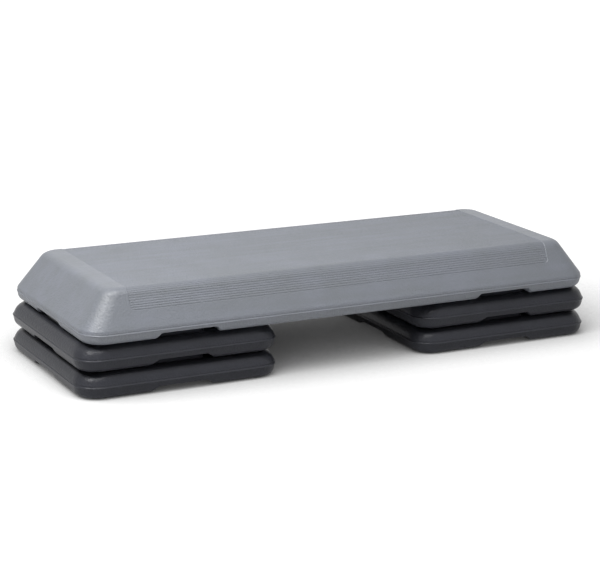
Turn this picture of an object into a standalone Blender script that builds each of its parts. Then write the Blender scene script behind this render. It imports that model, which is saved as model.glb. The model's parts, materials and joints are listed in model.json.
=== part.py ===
# Aerobic step: a blow-moulded platform on two stacks of square ring risers.
# Metres, +Z up. The origin is on the floor under the middle of the platform.
# X runs along the platform, Y across it.

import math

import bmesh
import bpy
from mathutils import Vector

# Driving sizes of the platform, at its parting line unless said otherwise
PLATFORM_LENGTH = 1.0922
PLATFORM_WIDTH = 0.412
PLATFORM_HEIGHT = 0.0966
PLATFORM_CORNER_RADIUS = 0.046
PLATFORM_TOP_CORNER_RADIUS = 0.0195
PLATFORM_PARTING_HEIGHT = 0.0197
PLATFORM_SKIRT_HEIGHT = 0.0058
PLATFORM_SKIRT_DRAFT = math.radians(2)
PLATFORM_SKIRT_BLEND = 0.0022
PLATFORM_SIDE_SLOPE = math.radians(64.8)
PLATFORM_END_SLOPE = math.radians(53.6)
PLATFORM_SIDE_SHOULDER_RADIUS = 0.020
PLATFORM_END_SHOULDER_RADIUS = 0.024
PLATFORM_LIP_RADIUS = 0.0136

# Grooved tread: it covers the top and runs down over both long shoulders
TREAD_HALF_LENGTH = 0.4540
TREAD_GROOVES_PER_SIDE = 47
TREAD_GROOVE_PITCH = 0.00455
TREAD_LAND_WIDTH = 0.0022
TREAD_LEDGE_DEPTH = 0.0009
TREAD_GROOVE_DEPTH = 0.0018

# Driving sizes of a riser
RISER_SIZE = 0.4064
RISER_PITCH = 0.0508
RISER_CORNER_RADIUS = 0.045
RISER_PARTING_HEIGHT = 0.0236
RISER_WALL_DRAFT = math.radians(20)
RISER_SHOULDER_RADIUS = 0.026
RISER_LIP_RADIUS = 0.0156
RISER_CENTRE_X = 0.353
RISER_HOLE_SIZE = 0.200
RISER_HOLE_CORNER_RADIUS = 0.040
RISER_HOLE_EDGE_RADIUS = 0.006
SEAT_GAP = 0.0003

# The lip under the parting line, and the bead that the mould leaves there
LIP_DRAFT = math.radians(12)
BEAD_PROUD = 0.0009
BEAD_HALF_FOOT = 0.0015
BEAD_HALF_CREST = 0.0008
UNDERSIDE_CLEARANCE = 0.0009

# Keying: four bosses on a riser's rim stand in channels under the piece above.
# A channel opens through the lip as a notch and ends just inside its boss.
BOSS_OUTER_REACH = 0.179
BOSS_INNER_REACH = 0.118
BOSS_HALF_WIDTH = 0.053
BOSS_CORNER_RADIUS = 0.010
BOSS_RISE = 0.0075
BOSS_DRAFT_INSET = 0.006
BOSS_CROWN_ROUND = 0.002
BOSS_SINK = 0.002
KEY_CLEARANCE = 0.002
CHANNEL_MOUTH_HALF_WIDTH = 0.066
RISER_CHANNEL_ROOF_HALF_WIDTH = 0.0545
RISER_CHANNEL_HEIGHT = 0.0092
PLATFORM_CHANNEL_ROOF_HALF_WIDTH = 0.056
PLATFORM_CHANNEL_HEIGHT = 0.0134
PLATFORM_CHANNEL_X = 0.343
PLATFORM_CHANNEL_INNER_END = 0.158
CHANNEL_EDGE_RADIUS = 0.002

# Stiffening troughs in the underside, between the two riser seats
TROUGH_HALF_LENGTH = 0.115
TROUGH_HALF_WIDTH = 0.011
TROUGH_SPACING = 0.095
TROUGH_DEPTH = 0.045
TROUGH_TAPER = 0.004

# Rubber feet: plugs pressed into stepped sockets
FOOT_RADIUS = 0.011
FOOT_PAD_HEIGHT = 0.0042
FOOT_STEM_RADIUS = 0.0038
FOOT_HEIGHT = 0.0095
FOOT_EDGE_CHAMFER = 0.0012
FOOT_SIDES = 12
RISER_FOOT_X = 0.153
RISER_FOOT_Y = 0.177
PLATFORM_FOOT_X = 0.503
PLATFORM_FOOT_Y = 0.158

# Facets: steps round a corner, an edge, a shoulder and the skirt's bend
CORNER_STEPS = 6
ARC_STEPS = 4
SHOULDER_STEPS = 5
BEND_STEPS = 3
HOLE_CORNER_STEPS = 4
TROUGH_CORNER_STEPS = 3
BOSS_CORNER_STEPS = 2
CHANNEL_EDGE_STEPS = 2
TREAD_COMB_BACK_STEPS = 36
CUT_OVERRUN = 0.004
BEVEL_ANGLE = math.radians(30)
SMOOTH_ANGLE = math.radians(32)

PLATFORM_COLOUR = (0.262, 0.279, 0.300, 1.0)
PLATFORM_ROUGHNESS = 0.52
RISER_COLOUR = (0.045, 0.047, 0.050, 1.0)
RISER_ROUGHNESS = 0.45
RUBBER_COLOUR = (0.012, 0.012, 0.012, 1.0)
RUBBER_ROUGHNESS = 0.8


def clear_scene():
    for obj in list(bpy.data.objects):
        bpy.data.objects.remove(obj, do_unlink=True)


def new_collection(name, hidden):
    made = bpy.data.collections.new(name)
    bpy.context.scene.collection.children.link(made)
    made.hide_render = hidden
    return made


def plastic(name, colour, roughness):
    made = bpy.data.materials.new(name)
    made.use_nodes = True
    shader = made.node_tree.nodes["Principled BSDF"]
    shader.inputs["Base Color"].default_value = colour
    shader.inputs["Roughness"].default_value = roughness
    shader.inputs["Metallic"].default_value = 0.0
    made.diffuse_color = colour
    return made


def rounded_ring(half_x, half_y, radius, height, steps):
    # Points of a rectangle with round corners, anticlockwise from the +X side
    points = []
    for corner, (sign_x, sign_y) in enumerate(((1, 1), (-1, 1), (-1, -1), (1, -1))):
        for step in range(steps + 1):
            angle = math.radians(90 * (corner + step / steps))
            x = sign_x * (half_x - radius) + radius * math.cos(angle)
            y = sign_y * (half_y - radius) + radius * math.sin(angle)
            points.append((x, y, height))
    return points


def loft(name, levels, collection, steps=CORNER_STEPS):
    # A closed body through rounded rectangles, lowest first.
    # Each level is (half length, half width, corner radius, height).
    mesh_data = bmesh.new()
    rings = []
    for half_x, half_y, radius, height in levels:
        ring = rounded_ring(half_x, half_y, radius, height, steps)
        rings.append([mesh_data.verts.new(point) for point in ring])
    count = len(rings[0])
    for lower, upper in zip(rings, rings[1:]):
        for i in range(count):
            j = (i + 1) % count
            mesh_data.faces.new((lower[i], lower[j], upper[j], upper[i]))
    mesh_data.faces.new(list(reversed(rings[0])))
    mesh_data.faces.new(rings[-1])
    return finish_mesh(name, mesh_data, collection)


def finish_mesh(name, mesh_data, collection):
    mesh = bpy.data.meshes.new(name)
    mesh_data.to_mesh(mesh)
    mesh_data.free()
    mesh.shade_smooth()
    mesh.set_sharp_from_angle(angle=SMOOTH_ANGLE)
    made = bpy.data.objects.new(name, mesh)
    collection.objects.link(made)
    return made


def as_cutter(obj):
    obj.hide_render = True
    obj.display_type = "WIRE"
    return obj


def boolean(obj, other, operation):
    modifier = obj.modifiers.new(f"{operation.lower()} {other.name}", "BOOLEAN")
    modifier.operation = operation
    modifier.solver = "EXACT"
    modifier.object = other


def bevel_edges(obj, width, segments):
    modifier = obj.modifiers.new("rounded edges", "BEVEL")
    modifier.width = width
    modifier.segments = segments
    modifier.limit_method = "ANGLE"
    modifier.angle_limit = BEVEL_ANGLE


def baked_mesh(obj, name):
    # The mesh that the object has after its modifiers, shaded smooth
    bpy.context.view_layer.update()
    graph = bpy.context.evaluated_depsgraph_get()
    mesh = bpy.data.meshes.new_from_object(obj.evaluated_get(graph))
    mesh.name = name
    mesh.shade_smooth()
    mesh.set_sharp_from_angle(angle=SMOOTH_ANGLE)
    return mesh


def lip_section(parting_height, radius):
    # (inset, height) from the flat underside round the lip to just under the bead
    turn = math.pi / 2 - LIP_DRAFT
    arc_rise = radius * (1 - math.cos(turn))
    wall_rise = parting_height - BEAD_HALF_FOOT - UNDERSIDE_CLEARANCE - arc_rise
    reach = radius * math.sin(turn) + wall_rise * math.tan(LIP_DRAFT)
    points = []
    for step in range(ARC_STEPS):
        angle = turn * step / (ARC_STEPS - 1)
        inset = BEAD_PROUD + reach - radius * math.sin(angle)
        points.append((inset, UNDERSIDE_CLEARANCE + radius * (1 - math.cos(angle))))
    return points


def bead_section(parting_height):
    # (inset, height) of the small ridge that the mould's parting line leaves
    return [
        (BEAD_PROUD, parting_height - BEAD_HALF_FOOT),
        (0.0, parting_height - BEAD_HALF_CREST),
        (0.0, parting_height + BEAD_HALF_CREST),
        (BEAD_PROUD, parting_height + BEAD_HALF_FOOT),
    ]


def wall_inset(height, slope):
    # Inset of the wall above the bead: a steep skirt that bends into the slope.
    # The bend is a parabola, one blend below and one above the skirt's top.
    skirt_foot = PLATFORM_PARTING_HEIGHT + BEAD_HALF_FOOT
    blend = PLATFORM_SKIRT_BLEND
    past = height - skirt_foot - PLATFORM_SKIRT_HEIGHT
    if past < blend:
        past = max(past + blend, 0.0) ** 2 / (4 * blend)
    lean = math.tan(PLATFORM_SKIRT_DRAFT)
    return BEAD_PROUD + (height - skirt_foot) * lean + past * (1 / math.tan(slope) - lean)


def platform_inset(height, slope, shoulder_radius):
    # Inset of the whole wall above the bead: skirt and slope, then the shoulder
    # that turns from the slope into the flat top
    shoulder_drop = shoulder_radius * (1 - math.cos(slope))
    fall = PLATFORM_HEIGHT - height
    if fall > shoulder_drop:
        return wall_inset(height, slope)
    flat_inset = wall_inset(PLATFORM_HEIGHT - shoulder_drop, slope)
    flat_inset += shoulder_radius * math.sin(slope)
    return flat_inset - shoulder_radius * math.sin(math.acos(1 - fall / shoulder_radius))


def platform_levels():
    # Lip and bead, skirt and bend, then the shoulders
    half_length = PLATFORM_LENGTH / 2
    half_width = PLATFORM_WIDTH / 2
    section = lip_section(PLATFORM_PARTING_HEIGHT, PLATFORM_LIP_RADIUS)
    section += bead_section(PLATFORM_PARTING_HEIGHT)
    levels = []
    for inset, height in section:
        radius = PLATFORM_CORNER_RADIUS - inset
        levels.append((half_length - inset, half_width - inset, radius, height))
    bend = PLATFORM_PARTING_HEIGHT + BEAD_HALF_FOOT + PLATFORM_SKIRT_HEIGHT
    heights = []
    for step in range(BEND_STEPS + 1):
        heights.append(bend + PLATFORM_SKIRT_BLEND * (2 * step / BEND_STEPS - 1))
    for step in range(SHOULDER_STEPS + 1):
        angle = PLATFORM_SIDE_SLOPE * (1 - step / SHOULDER_STEPS)
        heights.append(PLATFORM_HEIGHT - PLATFORM_SIDE_SHOULDER_RADIUS * (1 - math.cos(angle)))
    side = (PLATFORM_SIDE_SLOPE, PLATFORM_SIDE_SHOULDER_RADIUS)
    end = (PLATFORM_END_SLOPE, PLATFORM_END_SHOULDER_RADIUS)
    flat_y = half_width - platform_inset(PLATFORM_HEIGHT, *side)
    for height in heights:
        half_x = half_length - platform_inset(height, *end)
        half_y = half_width - platform_inset(height, *side)
        share = (half_width - half_y) / (half_width - flat_y)
        radius = PLATFORM_CORNER_RADIUS
        radius += share * (PLATFORM_TOP_CORNER_RADIUS - PLATFORM_CORNER_RADIUS)
        levels.append((half_x, half_y, radius, height))
    return levels, flat_y


def tread_path(distance, flat_y, sink):
    # Point of the platform's cross-section at this distance over the surface from
    # the middle of the top, sunk below the surface by the given depth
    side = math.copysign(1.0, distance)
    along = abs(distance)
    radius = PLATFORM_SIDE_SHOULDER_RADIUS
    bent = min(max(along - flat_y, 0.0) / radius, PLATFORM_SIDE_SLOPE)
    straight = max(along - flat_y - radius * PLATFORM_SIDE_SLOPE, 0.0)
    y = min(along, flat_y) + (radius - sink) * math.sin(bent) + straight * math.cos(bent)
    z = PLATFORM_HEIGHT - radius + (radius - sink) * math.cos(bent) - straight * math.sin(bent)
    return side * y, z


def tread_cutter(flat_y, collection):
    # A comb whose teeth press the grooves into the top and down both long slopes,
    # with a land along the middle; the outermost grooves are the tread's borders
    half_groove = (TREAD_GROOVE_PITCH - TREAD_LAND_WIDTH) / 2
    half_arc = (TREAD_GROOVES_PER_SIDE - 0.5) * TREAD_GROOVE_PITCH + half_groove
    outline = []
    for index in range(-TREAD_GROOVES_PER_SIDE, TREAD_GROOVES_PER_SIDE):
        root = (index + 0.5) * TREAD_GROOVE_PITCH
        outline.append(tread_path(root - half_groove, flat_y, TREAD_LEDGE_DEPTH))
        outline.append(tread_path(root, flat_y, TREAD_GROOVE_DEPTH))
        outline.append(tread_path(root + half_groove, flat_y, TREAD_LEDGE_DEPTH))
    for step in range(TREAD_COMB_BACK_STEPS + 1):
        over = half_arc - step * 2 * half_arc / TREAD_COMB_BACK_STEPS
        outline.append(tread_path(over, flat_y, -CUT_OVERRUN))
    mesh_data = bmesh.new()
    end = [mesh_data.verts.new((-TREAD_HALF_LENGTH, y, z)) for y, z in outline]
    face = mesh_data.faces.new(end)
    made = bmesh.ops.extrude_face_region(mesh_data, geom=[face])
    moved = [item for item in made["geom"] if isinstance(item, bmesh.types.BMVert)]
    bmesh.ops.translate(mesh_data, verts=moved, vec=Vector((2 * TREAD_HALF_LENGTH, 0, 0)))
    bmesh.ops.recalc_face_normals(mesh_data, faces=mesh_data.faces)
    return as_cutter(finish_mesh("tread_comb", mesh_data, collection))


def channel_cutter(name, start, end, section, collection):
    # A bar of trapezoid section between two points under the shell, open below.
    # The section is (half width at the roof, height of the roof).
    roof, roof_height = section
    run = Vector(end) - Vector(start)
    middle = (Vector(end) + Vector(start)) / 2
    flare = (CHANNEL_MOUTH_HALF_WIDTH - roof) / roof_height
    mouth = CHANNEL_MOUTH_HALF_WIDTH + flare * CUT_OVERRUN
    mesh_data = bmesh.new()
    bmesh.ops.create_cube(mesh_data, size=2.0)
    for vert in mesh_data.verts:
        above = vert.co.z > 0
        half_width = roof if above else mouth
        height = roof_height if above else -CUT_OVERRUN
        vert.co = (vert.co.x * run.length / 2, vert.co.y * half_width, height)
    made = as_cutter(finish_mesh(name, mesh_data, collection))
    made.location = (middle.x, middle.y, 0.0)
    made.rotation_euler = (0.0, 0.0, math.atan2(run.y, run.x))
    bevel_edges(made, CHANNEL_EDGE_RADIUS, CHANNEL_EDGE_STEPS)
    return made


def boss_levels():
    half_reach = (BOSS_OUTER_REACH - BOSS_INNER_REACH) / 2
    rim = RISER_PITCH - SEAT_GAP
    crown_inset = BOSS_DRAFT_INSET - BOSS_CROWN_ROUND
    crown = BOSS_RISE - BOSS_CROWN_ROUND
    levels = []
    for inset, rise in ((0.0, -BOSS_SINK), (crown_inset, crown), (BOSS_DRAFT_INSET, BOSS_RISE)):
        radius = BOSS_CORNER_RADIUS - inset / 2
        levels.append((half_reach - inset, BOSS_HALF_WIDTH - inset, radius, rim + rise))
    return levels


def socket_cutter(name, x, y, collection):
    # The stepped hole that takes a foot, turned about Z
    gap = SEAT_GAP
    profile = [
        (FOOT_STEM_RADIUS + gap, FOOT_HEIGHT + gap),
        (FOOT_STEM_RADIUS + gap, FOOT_PAD_HEIGHT + gap),
        (FOOT_RADIUS + gap, FOOT_PAD_HEIGHT + gap),
        (FOOT_RADIUS + gap, -CUT_OVERRUN),
    ]
    made = as_cutter(turned(name, profile, collection))
    made.location = (x, y, 0.0)
    return made


def turned(name, profile, collection):
    # A profile at +X, listed from the top down its outer side, turned about Z
    mesh_data = bmesh.new()
    points = [(0.0, profile[0][1])] + profile + [(0.0, profile[-1][1])]
    verts = [mesh_data.verts.new((radius, 0.0, height)) for radius, height in points]
    for first, second in zip(verts, verts[1:]):
        mesh_data.edges.new((first, second))
    made = finish_mesh(name, mesh_data, collection)
    screw = made.modifiers.new("turned", "SCREW")
    screw.steps = FOOT_SIDES
    screw.render_steps = FOOT_SIDES
    screw.use_merge_vertices = True
    screw.merge_threshold = 0.0001
    return made


def foot_mesh(collection):
    profile = [
        (FOOT_STEM_RADIUS, FOOT_HEIGHT),
        (FOOT_STEM_RADIUS, FOOT_PAD_HEIGHT),
        (FOOT_RADIUS, FOOT_PAD_HEIGHT),
        (FOOT_RADIUS, FOOT_EDGE_CHAMFER),
        (FOOT_RADIUS - FOOT_EDGE_CHAMFER, 0.0),
    ]
    pattern = as_cutter(turned("foot_pattern", profile, collection))
    return baked_mesh(pattern, "foot")


def hole_levels():
    # The riser's open centre: waisted at mid height, with round edges at both faces
    half = RISER_HOLE_SIZE / 2
    radius = RISER_HOLE_EDGE_RADIUS
    bottom = UNDERSIDE_CLEARANCE
    top = RISER_PITCH - SEAT_GAP
    side = []
    for step in range(ARC_STEPS):
        angle = math.pi / 2 * step / (ARC_STEPS - 1)
        side.append((half + radius * (1 - math.sin(angle)), radius * (1 - math.cos(angle))))
    widths = [(half + radius, bottom - CUT_OVERRUN)]
    widths += [(reach, bottom + rise) for reach, rise in side]
    widths += [(reach, top - rise) for reach, rise in reversed(side)]
    widths += [(half + radius, top + CUT_OVERRUN)]
    return [(reach, reach, RISER_HOLE_CORNER_RADIUS + reach - half, z) for reach, z in widths]


def riser_levels():
    # Lip and bead, then a leaning wall and a broad shoulder up to the flat rim.
    # Above the bead the corners keep their radius, so they draw in more than the sides.
    half = RISER_SIZE / 2
    levels = []
    section = lip_section(RISER_PARTING_HEIGHT, RISER_LIP_RADIUS)
    for inset, height in section + bead_section(RISER_PARTING_HEIGHT):
        levels.append((half - inset, half - inset, RISER_CORNER_RADIUS - inset, height))
    top = RISER_PITCH - SEAT_GAP
    turn = math.pi / 2 - RISER_WALL_DRAFT
    wall_top = top - RISER_SHOULDER_RADIUS * (1 - math.cos(turn))
    wall_rise = wall_top - RISER_PARTING_HEIGHT - BEAD_HALF_FOOT
    shoulder_run = RISER_SHOULDER_RADIUS * math.sin(turn)
    rim_inset = BEAD_PROUD + wall_rise * math.tan(RISER_WALL_DRAFT) + shoulder_run
    for step in range(SHOULDER_STEPS + 1):
        angle = turn * (1 - step / SHOULDER_STEPS)
        fall = RISER_SHOULDER_RADIUS * (1 - math.cos(angle))
        reach = half - rim_inset + RISER_SHOULDER_RADIUS * math.sin(angle)
        levels.append((reach, reach, RISER_CORNER_RADIUS, top - fall))
    return levels


def riser_mesh(cutters):
    # One riser shell, centred on the origin with its feet's plane at height 0
    shell = as_cutter(loft("riser_pattern", riser_levels(), cutters))
    middle = (BOSS_OUTER_REACH + BOSS_INNER_REACH) / 2
    section = (RISER_CHANNEL_ROOF_HALF_WIDTH, RISER_CHANNEL_HEIGHT)
    for side in range(4):
        angle = math.radians(90 * side)
        outward = Vector((math.cos(angle), math.sin(angle), 0.0))
        name = f"riser_boss_{side}"
        boss = as_cutter(loft(name, boss_levels(), cutters, steps=BOSS_CORNER_STEPS))
        boss.location = middle * outward
        boss.rotation_euler = (0.0, 0.0, angle)
        boolean(shell, boss, "UNION")
        start = (BOSS_INNER_REACH - KEY_CLEARANCE) * outward
        channel = channel_cutter(f"riser_channel_{side}", start, RISER_SIZE * outward, section, cutters)
        boolean(shell, channel, "DIFFERENCE")
    hole = as_cutter(loft("riser_hole", hole_levels(), cutters, steps=HOLE_CORNER_STEPS))
    boolean(shell, hole, "DIFFERENCE")
    for index, (x, y) in enumerate(foot_places(RISER_FOOT_X, RISER_FOOT_Y).values()):
        boolean(shell, socket_cutter(f"riser_socket_{index}", x, y, cutters), "DIFFERENCE")
    return baked_mesh(shell, "riser")


def foot_places(offset_x, offset_y):
    return {
        "front_left": (-offset_x, -offset_y),
        "front_right": (offset_x, -offset_y),
        "back_left": (-offset_x, offset_y),
        "back_right": (offset_x, offset_y),
    }


def platform_channel_runs():
    # Start and end of each channel: over each riser one to the front, one to the
    # back, one through the end of the platform and a blind one towards its middle
    reach = BOSS_INNER_REACH - KEY_CLEARANCE
    runs = []
    for side in (-1, 1):
        x = side * PLATFORM_CHANNEL_X
        runs.append(((x, -reach, 0.0), (x, -PLATFORM_WIDTH, 0.0)))
        runs.append(((x, reach, 0.0), (x, PLATFORM_WIDTH, 0.0)))
        runs.append(((side * (RISER_CENTRE_X + reach), 0.0, 0.0), (side * PLATFORM_LENGTH, 0.0, 0.0)))
        inner_end = side * PLATFORM_CHANNEL_INNER_END
        runs.append(((side * (RISER_CENTRE_X - reach), 0.0, 0.0), (inner_end, 0.0, 0.0)))
    return runs


def trough_levels():
    levels = []
    for inset, height in ((-TROUGH_TAPER, -CUT_OVERRUN), (0.0, TROUGH_TAPER), (TROUGH_TAPER, TROUGH_DEPTH)):
        half_width = TROUGH_HALF_WIDTH - inset
        levels.append((TROUGH_HALF_LENGTH - inset, half_width, half_width, height))
    return levels


def platform_mesh(cutters):
    # The platform shell, centred on the origin with its feet's plane at height 0
    levels, flat_y = platform_levels()
    shell = as_cutter(loft("platform_pattern", levels, cutters))
    section = (PLATFORM_CHANNEL_ROOF_HALF_WIDTH, PLATFORM_CHANNEL_HEIGHT)
    for index, (start, end) in enumerate(platform_channel_runs()):
        channel = channel_cutter(f"platform_channel_{index}", start, end, section, cutters)
        boolean(shell, channel, "DIFFERENCE")
    for row in (-1, 0, 1):
        name = f"platform_trough_{row + 1}"
        trough = as_cutter(loft(name, trough_levels(), cutters, steps=TROUGH_CORNER_STEPS))
        trough.location = (0.0, row * TROUGH_SPACING, 0.0)
        boolean(shell, trough, "DIFFERENCE")
    for index, (x, y) in enumerate(foot_places(PLATFORM_FOOT_X, PLATFORM_FOOT_Y).values()):
        boolean(shell, socket_cutter(f"platform_socket_{index}", x, y, cutters), "DIFFERENCE")
    boolean(shell, tread_cutter(flat_y, cutters), "DIFFERENCE")
    return baked_mesh(shell, "platform")


def place(name, mesh, material, parent, location, collection):
    made = bpy.data.objects.new(name, mesh)
    made.location = location
    made.parent = parent
    if not mesh.materials:
        mesh.materials.append(material)
    collection.objects.link(made)
    return made


def carrier(name, location, collection):
    # An empty that carries one lift-off unit; the unit slides along this empty's Z
    made = bpy.data.objects.new(name, None)
    made.location = location
    collection.objects.link(made)
    return made


def place_feet(prefix, mesh, material, parent, places, collection):
    for corner, (x, y) in places.items():
        place(f"{prefix}_foot_{corner}", mesh, material, parent, (x, y, 0.0), collection)


def main():
    clear_scene()
    parts = new_collection("aerobic_step", hidden=False)
    cutters = new_collection("cutters", hidden=True)
    platform_plastic = plastic("grey moulded polyethylene", PLATFORM_COLOUR, PLATFORM_ROUGHNESS)
    riser_plastic = plastic("charcoal moulded polyethylene", RISER_COLOUR, RISER_ROUGHNESS)
    rubber = plastic("black rubber", RUBBER_COLOUR, RUBBER_ROUGHNESS)
    riser = riser_mesh(cutters)
    foot = foot_mesh(cutters)
    riser_feet = foot_places(RISER_FOOT_X, RISER_FOOT_Y)
    for side, sign in (("left", -1), ("right", 1)):
        for level, height in (("lower", 0.0), ("upper", RISER_PITCH)):
            name = f"riser_{side}_{level}"
            unit = carrier(f"{name}_unit", (sign * RISER_CENTRE_X, 0.0, height), parts)
            place(name, riser, riser_plastic, unit, (0.0, 0.0, 0.0), parts)
            place_feet(name, foot, rubber, unit, riser_feet, parts)
    unit = carrier("platform_unit", (0.0, 0.0, 2 * RISER_PITCH), parts)
    place("platform", platform_mesh(cutters), platform_plastic, unit, (0.0, 0.0, 0.0), parts)
    platform_feet = foot_places(PLATFORM_FOOT_X, PLATFORM_FOOT_Y)
    place_feet("platform", foot, rubber, unit, platform_feet, parts)


main()
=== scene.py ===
import json
import math

import bpy
import numpy as np
from mathutils import Euler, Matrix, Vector


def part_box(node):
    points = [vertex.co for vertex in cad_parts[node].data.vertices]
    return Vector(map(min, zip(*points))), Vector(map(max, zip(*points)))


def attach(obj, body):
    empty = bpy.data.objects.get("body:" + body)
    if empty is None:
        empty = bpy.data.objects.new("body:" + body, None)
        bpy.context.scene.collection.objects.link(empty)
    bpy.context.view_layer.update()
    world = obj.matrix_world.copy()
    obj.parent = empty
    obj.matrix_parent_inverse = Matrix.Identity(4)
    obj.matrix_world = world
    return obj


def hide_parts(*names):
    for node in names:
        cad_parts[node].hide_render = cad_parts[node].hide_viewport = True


# Aerobic step: the looks of the platform, its four ring risers and their rubber feet.
# Metres, +Z up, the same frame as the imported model.

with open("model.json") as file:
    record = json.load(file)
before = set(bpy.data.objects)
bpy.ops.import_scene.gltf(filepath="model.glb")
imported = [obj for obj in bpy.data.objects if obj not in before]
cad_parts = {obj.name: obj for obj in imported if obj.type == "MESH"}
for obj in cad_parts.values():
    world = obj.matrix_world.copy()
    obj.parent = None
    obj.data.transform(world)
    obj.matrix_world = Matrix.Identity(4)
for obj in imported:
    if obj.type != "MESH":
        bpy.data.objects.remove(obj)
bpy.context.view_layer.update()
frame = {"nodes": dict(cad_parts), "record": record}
print("frame loaded:", len(frame["nodes"]), "nodes")


# Small helpers

weldReach = 0.000002             # points closer than this are one
sharpAngle = math.radians(50)    # edges that turn by more are shaded sharp
keyTurn = 91                     # over 90: a corner's keys stay short of the next side's


def paint(hexCode):
    # sRGB hex to linear colour
    channels = [int(hexCode[i:i + 2], 16) / 255 for i in (1, 3, 5)]
    linear = [c / 12.92 if c <= 0.04045 else ((c + 0.055) / 1.055) ** 2.4 for c in channels]
    return (*linear, 1.0)


def addNode(tree, kind, settings, links=None):
    # Settings fill a socket where the node has one of that name, or else a property
    node = tree.nodes.new(kind)
    for name, value in settings.items():
        if isinstance(name, int) or name in node.inputs:
            node.inputs[name].default_value = value
        else:
            setattr(node, name, value)
    for name, source in (links or {}).items():
        tree.links.new(source, node.inputs[name])
    return node


def smoothMax(a, b, blend):
    # The larger of two heights, with the crease between them filleted over the blend
    near = np.maximum(blend - np.abs(a - b), 0.0) / blend
    return np.maximum(a, b) + near * near * blend / 4


def smoothMin(a, b, blend):
    return -smoothMax(-a, -b, blend)


def ramp(start, end, value):
    # 0 before start, 1 after end, and 3t^2 - 2t^3 between them
    t = np.clip((value - start) / (end - start), 0.0, 1.0)
    return t * t * (3 - 2 * t)


def depthInside(offX, offY, halfX, halfY, radius):
    # How far inside a rounded rectangle, from the distances off its two middle lines
    overX, overY = offX - halfX + radius, offY - halfY + radius
    outside = np.hypot(np.maximum(overX, 0), np.maximum(overY, 0))
    return radius - outside - np.minimum(np.maximum(overX, overY), 0)


def channelRoof(offAxis, intoEnds, form):
    # Height of a channel with leaning sides and steep ends over the feet's plane, far below
    # it outside: from the distance off its axis and the distances into it from its ends
    lean = form["height"] / (form["mouth"] - form["roof"])
    roof = smoothMin((form["mouth"] - offAxis) * lean, form["height"], form["fillet"])
    for into in intoEnds:
        roof = smoothMin(roof, into * form["steep"], form["fillet"])
    return roof


def mirrored(values):
    # The values and their negatives, sorted, each once
    values = np.asarray(values, float)
    return np.unique(np.round(np.concatenate([-values, values]), 7))


def inScene(name, data):
    obj = bpy.data.objects.new(name, data)
    bpy.context.scene.collection.objects.link(obj)
    return obj


def pieceFrom(name, points, faces):
    # A mesh object from points and faces, with the points that coincide made one
    mesh = bpy.data.meshes.new(name)
    mesh.from_pydata(points, [], faces)
    mesh.validate()
    made = inScene(name, mesh)
    weld = made.modifiers.new("weld", "WELD")
    weld.merge_threshold = weldReach
    settle(made)
    return made


def settle(obj):
    # Bakes the modifiers into the mesh and shades it smooth
    bpy.context.view_layer.update()
    graph = bpy.context.evaluated_depsgraph_get()
    mesh = bpy.data.meshes.new_from_object(obj.evaluated_get(graph))
    obj.modifiers.clear()
    old = obj.data
    obj.data = mesh
    bpy.data.meshes.remove(old)
    mesh.shade_smooth()


def cutAway(obj, cutters):
    # Subtracts the cutters, which don't touch each other, as one
    first = cutters[0]
    with bpy.context.temp_override(active_object=first, selected_editable_objects=cutters):
        bpy.ops.object.join()
    cut = obj.modifiers.new("cut", "BOOLEAN")
    cut.operation = "DIFFERENCE"
    cut.solver = "EXACT"
    cut.object = first
    settle(obj)
    bpy.data.objects.remove(first)


def ringStations(longLines, shortLines, cornerSteps):
    # Stations round a rounded rectangle, anticlockwise from the right end: lines that keep
    # their x or their y on the straight runs, and equal angle steps round each corner.
    # Columns: corner sign x, corner sign y, cosine, sine, fixed x, fixed y, order key. The
    # keys run from 0.1 to 0.9 along a straight run and on from 1 round the corner after it.
    blocks = []

    def add(*columns):
        blocks.append(np.stack(np.broadcast_arrays(*columns), axis=1))

    angles = np.linspace(0.0, 90.0, cornerSteps + 1)
    for side in range(4):
        turn = math.radians(90 * side)
        across, along = round(math.cos(turn)), round(math.sin(turn))
        isEnd = side % 2 == 0
        forward = 1 if side in (0, 3) else -1
        lines = np.sort(shortLines if isEnd else longLines)[::forward]
        key = 2 * side + 0.5 + forward * lines / (2.5 * np.max(np.abs(lines)) + 1e-6)
        if isEnd:
            add(across, np.sign(lines), across, along, np.nan, lines, key)
        else:
            add(np.sign(lines), along, across, along, lines, np.nan, key)
        bend = np.radians(angles + 90 * side)
        cornerSigns = ((1, 1), (-1, 1), (-1, -1), (1, -1))[side]
        add(*cornerSigns, np.cos(bend), np.sin(bend), np.nan, np.nan,
            2 * side + 1 + angles / keyTurn)
    return np.concatenate(blocks)


def ringPoints(levels, stations):
    # x and y of each station at each level (half length, half width, corner radius, ...):
    # corner centre plus radius times direction, or the station's own fixed line
    halfX, halfY, radius = (levels[:, [i]] for i in range(3))
    signX, signY, cosA, sinA, fixedX, fixedY = (stations[:, i] for i in range(6))
    x = signX * (halfX - radius) + radius * cosA
    y = signY * (halfY - radius) + radius * sinA
    straightX = np.broadcast_to(fixedX, x.shape)
    straightY = np.broadcast_to(fixedY, y.shape)
    x = np.where(np.isnan(straightX), np.where(np.isnan(straightY), x, cosA * halfX), straightX)
    y = np.where(np.isnan(straightY), np.where(np.isnan(straightX), y, sinA * halfY), straightY)
    return x, y


def wrapFaces(rowCount, columnCount, start, closeRows=False):
    # Quads of a grid whose columns close on themselves, and its rows too if asked
    i = np.arange(rowCount if closeRows else rowCount - 1)[:, None]
    j = np.arange(columnCount)[None, :]
    nextRow = (i + 1) % rowCount
    nextColumn = (j + 1) % columnCount
    quads = np.stack(np.broadcast_arrays(
        i * columnCount + j, i * columnCount + nextColumn,
        nextRow * columnCount + nextColumn, nextRow * columnCount + j), axis=-1)
    return (quads.reshape(-1, 4) + start).tolist()


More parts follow.
